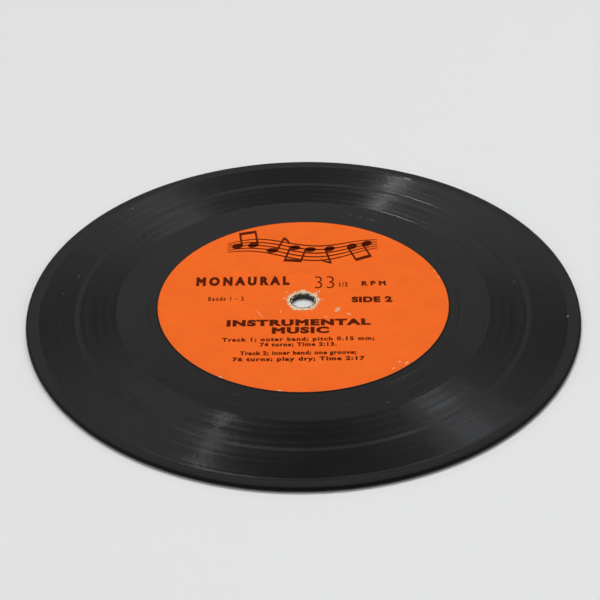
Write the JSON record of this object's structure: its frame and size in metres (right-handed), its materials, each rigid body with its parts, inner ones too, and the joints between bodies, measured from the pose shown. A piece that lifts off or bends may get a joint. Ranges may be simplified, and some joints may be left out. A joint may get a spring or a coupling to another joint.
{
  "type": "vinyl record",
  "caption": "Seven inch 33 1/3 rpm record with a small spindle hole: a pressed vinyl disc, grooved on both faces, with a paper label moulded into each side.",
  "frame": {"origin": "centre of the spindle hole, at the height of the lower label's face, on which the record lies", "axes": "+Z along the spindle, out of the side with the upper label; +Y towards the top of that label's print and +X to its right"},
  "size_m": [0.1746, 0.1746, 0.0019],
  "materials": {
    "vinyl": "black, smooth at the rim and round the label, grooved between",
    "label_paper": "matt printed orange paper"
  },
  "bodies": {
    "root": {"vinyl_disc": "vinyl", "label_top": "label_paper", "label_bottom": "label_paper"}
  },
  "joints": []
}
